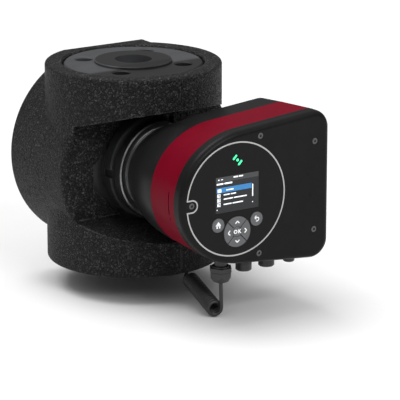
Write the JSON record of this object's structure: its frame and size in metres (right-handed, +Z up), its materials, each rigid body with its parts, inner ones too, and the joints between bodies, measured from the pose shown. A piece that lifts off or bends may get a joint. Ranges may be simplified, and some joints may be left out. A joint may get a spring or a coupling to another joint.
{
  "type": "circulator pump",
  "caption": "Flanged wet-rotor circulator pump in black insulating shells, with a round-and-square control head on its motor and a curly sensor lead.",
  "frame": {"origin": "centre of the lower (inlet) flange's raised face, on the pipe line", "axes": "+Z up the pipe line to the outlet flange, -Y along the motor shaft towards the control panel, +X to the right seen from the panel"},
  "size_m": [0.223, 0.2859, 0.2475],
  "materials": {
    "coated_iron": "black cataphoretic coating, fine cast grain",
    "foam_shell": "expanded bead foam, fused black beads, low sheen",
    "stainless": "brushed stainless steel",
    "ceramic": "ground ceramic",
    "carbon": "carbon bearing material",
    "rotor_steel": "steel sleeved permanent magnet rotor",
    "holder_steel": "pressed stainless",
    "lamination": "stacked electrical steel",
    "copper": "enamelled copper winding",
    "motor_aluminium": "die-cast aluminium",
    "black_plastic": "fine-textured black composite",
    "colour_band": "crimson satin composite",
    "panel_print": "charcoal printed panel film",
    "bright_ring": "bright silver trim",
    "display_glass": "clear display window over a lit screen",
    "display_body": "display module",
    "status_green": "translucent green light guide",
    "key_grey": "grey keys with white symbols",
    "seal_rubber": "black elastomer",
    "circuit_board": "green solder mask",
    "capacitor_sleeve": "sleeved aluminium cans",
    "choke_core": "wound ferrite ring",
    "terminal_grey": "grey terminal block",
    "cover_screw_steel": "dark zinc nickel plated steel",
    "gland_plastic": "black polyamide",
    "sensor_body": "brass sensor body",
    "sensor_plug": "moulded connector",
    "cable_jacket": "black polyurethane jacket"
  },
  "bodies": {
    "root": {"pump_housing": "coated_iron", "insulation_left": "foam_shell", "insulation_right": "foam_shell", "clamp_ring": "stainless", "clamp_screw": "stainless", "rotor_can": "stainless", "wear_ring": "stainless", "bearing_plate": "stainless", "motor_screws": "stainless", "front_bearing": "carbon", "rear_bearing": "carbon", "thrust_bearing": "carbon", "rear_bearing_holder": "holder_steel", "stator_core": "lamination", "stator_coils": "copper", "stator_housing": "motor_aluminium", "heat_sink": "motor_aluminium", "control_box_base": "black_plastic", "front_cover": "black_plastic", "colour_band": "colour_band", "panel_disc": "panel_print", "panel_ring": "bright_ring", "display_glass": "display_glass", "display_module": "display_body", "status_lights": "status_green", "housing_gasket": "seal_rubber", "cover_gasket": "seal_rubber", "key_mat": "seal_rubber", "plug_seals": "seal_rubber", "sensor_seal": "seal_rubber", "control_board": "circuit_board", "power_board": "circuit_board", "board_capacitors": "capacitor_sleeve", "power_choke": "choke_core", "terminal_block": "terminal_grey", "cover_screws": "cover_screw_steel", "gland_body": "gland_plastic", "gland_nut": "gland_plastic", "blanking_plugs": "gland_plastic", "vent_plug": "gland_plastic", "sensor": "sensor_body", "sensor_plug": "sensor_plug", "sensor_cable_lead": "cable_jacket", "sensor_cable_coil": "cable_jacket", "sensor_cable_tail": "cable_jacket"},
    "rotor": {"shaft": "ceramic", "thrust_ring": "ceramic", "rotor_core": "rotor_steel", "impeller": "stainless", "impeller_eye_shroud": "stainless"},
    "home_key_body": {"home_key": "key_grey"},
    "back_key_body": {"back_key": "key_grey"},
    "ok_key_body": {"ok_key": "key_grey"},
    "up_key_body": {"up_key": "key_grey"},
    "down_key_body": {"down_key": "key_grey"},
    "left_key_body": {"left_key": "key_grey"},
    "right_key_body": {"right_key": "key_grey"}
  },
  "joints": [
    {"name": "rotor_spin", "type": "hinge", "parent": "root", "child": "rotor", "pos_m": [0, 0, 0.11], "axis": [0, -1, 0], "continuous": true},
    {"name": "home_key_press", "type": "slide", "parent": "root", "child": "home_key_body", "axis": [0, 1, 0], "range_m": [0, 0.0008], "stiffness_N_per_m": 900, "springref_m": -0.0003},
    {"name": "back_key_press", "type": "slide", "parent": "root", "child": "back_key_body", "axis": [0, 1, 0], "range_m": [0, 0.0008], "stiffness_N_per_m": 900, "springref_m": -0.0003},
    {"name": "ok_key_press", "type": "slide", "parent": "root", "child": "ok_key_body", "axis": [0, 1, 0], "range_m": [0, 0.0008], "stiffness_N_per_m": 900, "springref_m": -0.0003},
    {"name": "up_key_press", "type": "slide", "parent": "root", "child": "up_key_body", "axis": [0, 1, 0], "range_m": [0, 0.0008], "stiffness_N_per_m": 900, "springref_m": -0.0003},
    {"name": "down_key_press", "type": "slide", "parent": "root", "child": "down_key_body", "axis": [0, 1, 0], "range_m": [0, 0.0008], "stiffness_N_per_m": 900, "springref_m": -0.0003},
    {"name": "left_key_press", "type": "slide", "parent": "root", "child": "left_key_body", "axis": [0, 1, 0], "range_m": [0, 0.0008], "stiffness_N_per_m": 900, "springref_m": -0.0003},
    {"name": "right_key_press", "type": "slide", "parent": "root", "child": "right_key_body", "axis": [0, 1, 0], "range_m": [0, 0.0008], "stiffness_N_per_m": 900, "springref_m": -0.0003}
  ]
}
